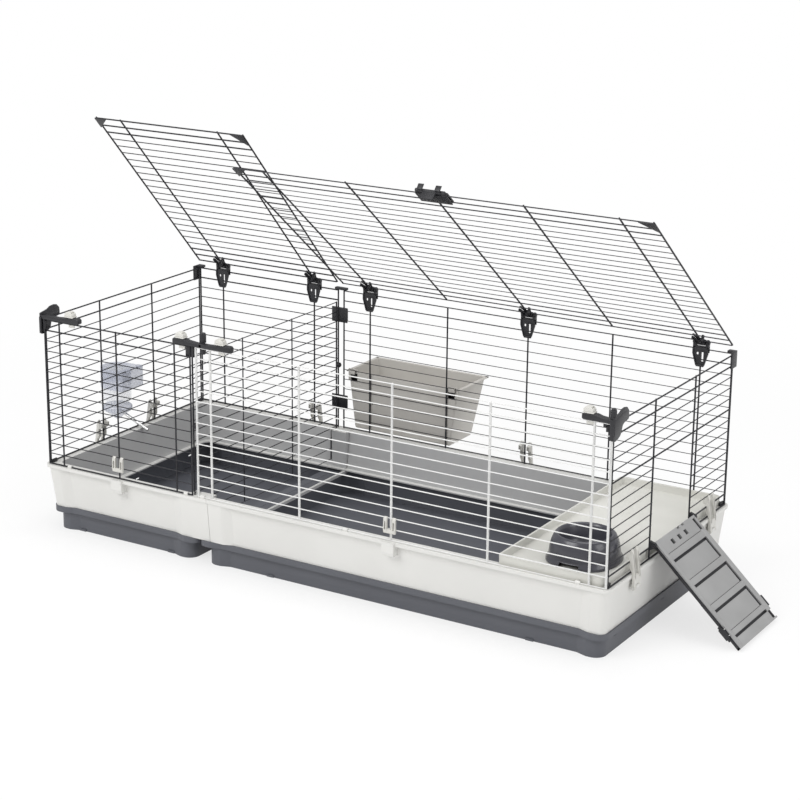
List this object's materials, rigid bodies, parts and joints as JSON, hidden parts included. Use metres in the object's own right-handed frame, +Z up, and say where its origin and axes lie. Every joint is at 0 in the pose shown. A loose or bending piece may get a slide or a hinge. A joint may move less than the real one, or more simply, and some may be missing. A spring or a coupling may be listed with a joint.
{
  "type": "small animal cage",
  "caption": "Two-module wire small animal cage on grey plastic trays with white surrounds, hinged wire roofs, front doors, ramp, platform, bowl, hay bin and bottle",
  "frame": {"origin": "on the floor under the middle of the base", "axes": "+X runs along the cage to the ramp end, +Y to the back where the roofs hinge, +Z up"},
  "size_m": [1.7024, 0.7379, 0.9186],
  "materials": {
    "black_wire": "satin powder coat",
    "white_wire": "satin powder coat",
    "grey_plastic": "fine satin grain",
    "white_plastic": "fine satin grain",
    "clip_plastic": "satin",
    "latch_plastic": "satin",
    "black_plastic": "satin",
    "bin_plastic": "satin",
    "platform_plastic": "satin",
    "bowl_plastic": "polished",
    "ramp_plastic": "satin",
    "bottle_plastic": "translucent, polished",
    "bottle_cap_plastic": "polished",
    "steel": "polished"
  },
  "bodies": {
    "base": {"small_tray": "grey_plastic", "large_tray": "grey_plastic", "small_surround": "white_plastic", "large_surround": "white_plastic", "left_end_panel": "black_wire", "right_end_panel": "black_wire", "small_back_panel": "black_wire", "large_back_panel": "black_wire", "hinge_clips": "black_plastic", "bracket_front_left": "black_plastic", "bracket_front_middle": "black_plastic", "bracket_front_right": "black_plastic", "back_caps": "black_plastic", "post_clips": "black_plastic", "panel_feet": "black_plastic", "ramp_hinges": "black_plastic", "divider_panel": "black_wire", "divider_knobs": "black_plastic"},
    "small_front_door": {"small_front_door": "black_wire", "small_door_ears": "clip_plastic"},
    "large_front_door": {"large_front_door": "white_wire", "large_door_ears": "clip_plastic"},
    "left_roof": {"left_roof": "black_wire", "left_roof_caps": "black_plastic", "left_roof_clamps": "black_plastic"},
    "right_roof": {"right_roof": "black_wire", "right_roof_caps": "black_plastic", "right_roof_clamps": "black_plastic", "roof_latch": "black_plastic"},
    "roof_latch_tab": {"roof_latch_tab": "black_plastic"},
    "latch_small_left": {"latch_small_left": "latch_plastic"},
    "latch_small_right": {"latch_small_right": "latch_plastic"},
    "latch_large_left": {"latch_large_left": "latch_plastic"},
    "latch_large_right": {"latch_large_right": "latch_plastic"},
    "clip_left_front": {"clip_left_front": "clip_plastic"},
    "clip_left_back": {"clip_left_back": "clip_plastic"},
    "clip_right_front": {"clip_right_front": "clip_plastic"},
    "clip_right_back": {"clip_right_back": "clip_plastic"},
    "clip_back_small": {"clip_back_small": "clip_plastic"},
    "clip_back_large": {"clip_back_large": "clip_plastic"},
    "ramp": {"ramp_rails": "black_plastic", "ramp_deck": "ramp_plastic"},
    "ramp_latch_front": {"ramp_latch_front": "black_plastic"},
    "ramp_latch_back": {"ramp_latch_back": "black_plastic"},
    "platform": {"platform": "platform_plastic"},
    "bowl": {"bowl": "bowl_plastic"},
    "hay_bin": {"hay_bin": "bin_plastic"},
    "bottle": {"bottle_body": "bottle_plastic", "bottle_cap": "bottle_cap_plastic", "bottle_spout": "steel", "bottle_ball": "steel", "bottle_holder": "bottle_cap_plastic"}
  },
  "joints": [
    {"name": "left_roof_hinge", "type": "hinge", "parent": "base", "child": "left_roof", "pos_m": [-0.499, 0.292, 0.508], "axis": [1, 0, 0], "range_deg": [-63, 47]},
    {"name": "right_roof_hinge", "type": "hinge", "parent": "base", "child": "right_roof", "pos_m": [0.209, 0.292, 0.508], "axis": [1, 0, 0], "range_deg": [-71.4, 38.6]},
    {"name": "roof_latch_hinge", "type": "hinge", "parent": "right_roof", "child": "roof_latch_tab", "pos_m": [0.209, -0.1519, 0.86236], "axis": [1, 0, 0], "range_deg": [-20, 20]},
    {"name": "small_front_door_hinge", "type": "hinge", "parent": "base", "child": "small_front_door", "pos_m": [-0.499, -0.292, 0.157], "axis": [1, 0, 0], "range_deg": [0, 90]},
    {"name": "large_front_door_hinge", "type": "hinge", "parent": "base", "child": "large_front_door", "pos_m": [0.209, -0.292, 0.157], "axis": [1, 0, 0], "range_deg": [0, 90]},
    {"name": "latch_small_left_slide", "type": "slide", "parent": "base", "child": "latch_small_left", "axis": [0, 0, 1], "range_m": [0, 0.008]},
    {"name": "latch_small_right_slide", "type": "slide", "parent": "base", "child": "latch_small_right", "axis": [0, 0, 1], "range_m": [0, 0.008]},
    {"name": "latch_large_left_slide", "type": "slide", "parent": "base", "child": "latch_large_left", "axis": [0, 0, 1], "range_m": [0, 0.008]},
    {"name": "latch_large_right_slide", "type": "slide", "parent": "base", "child": "latch_large_right", "axis": [0, 0, 1], "range_m": [0, 0.008]},
    {"name": "clip_left_front_pivot", "type": "hinge", "parent": "base", "child": "clip_left_front", "pos_m": [-0.713, -0.097, 0.127], "axis": [0, -1, 0], "range_deg": [0, 35]},
    {"name": "clip_left_back_pivot", "type": "hinge", "parent": "base", "child": "clip_left_back", "pos_m": [-0.713, 0.097, 0.127], "axis": [0, -1, 0], "range_deg": [0, 35]},
    {"name": "clip_right_front_pivot", "type": "hinge", "parent": "base", "child": "clip_right_front", "pos_m": [0.713, -0.18, 0.127], "axis": [0, 1, 0], "range_deg": [0, 35]},
    {"name": "clip_right_back_pivot", "type": "hinge", "parent": "base", "child": "clip_right_back", "pos_m": [0.713, 0.196, 0.127], "axis": [0, 1, 0], "range_deg": [0, 35]},
    {"name": "clip_back_small_pivot", "type": "hinge", "parent": "base", "child": "clip_back_small", "pos_m": [-0.366, 0.303, 0.127], "axis": [-1, 0, 0], "range_deg": [0, 35]},
    {"name": "clip_back_large_pivot", "type": "hinge", "parent": "base", "child": "clip_back_large", "pos_m": [0.209, 0.303, 0.127], "axis": [-1, 0, 0], "range_deg": [0, 35]},
    {"name": "ramp_hinge", "type": "hinge", "parent": "base", "child": "ramp", "pos_m": [0.712, 0, 0.187], "axis": [0, -1, 0], "range_deg": [0, 133]},
    {"name": "ramp_latch_front_slide", "type": "slide", "parent": "ramp", "child": "ramp_latch_front", "axis": [0, 1, 0], "range_m": [0, 0.005]},
    {"name": "ramp_latch_back_slide", "type": "slide", "parent": "ramp", "child": "ramp_latch_back", "axis": [0, -1, 0], "range_m": [0, 0.005]},
    {"name": "platform_lift", "type": "slide", "parent": "base", "child": "platform", "axis": [0, 0, 1], "range_m": [0, 0.12]},
    {"name": "bowl_lift", "type": "slide", "parent": "platform", "child": "bowl", "axis": [0, 0, 1], "range_m": [0, 0.12]},
    {"name": "hay_bin_lift", "type": "slide", "parent": "base", "child": "hay_bin", "axis": [0, 0, 1], "range_m": [0, 0.012]},
    {"name": "bottle_lift", "type": "slide", "parent": "base", "child": "bottle", "axis": [0, 0, 1], "range_m": [0, 0.004]}
  ]
}
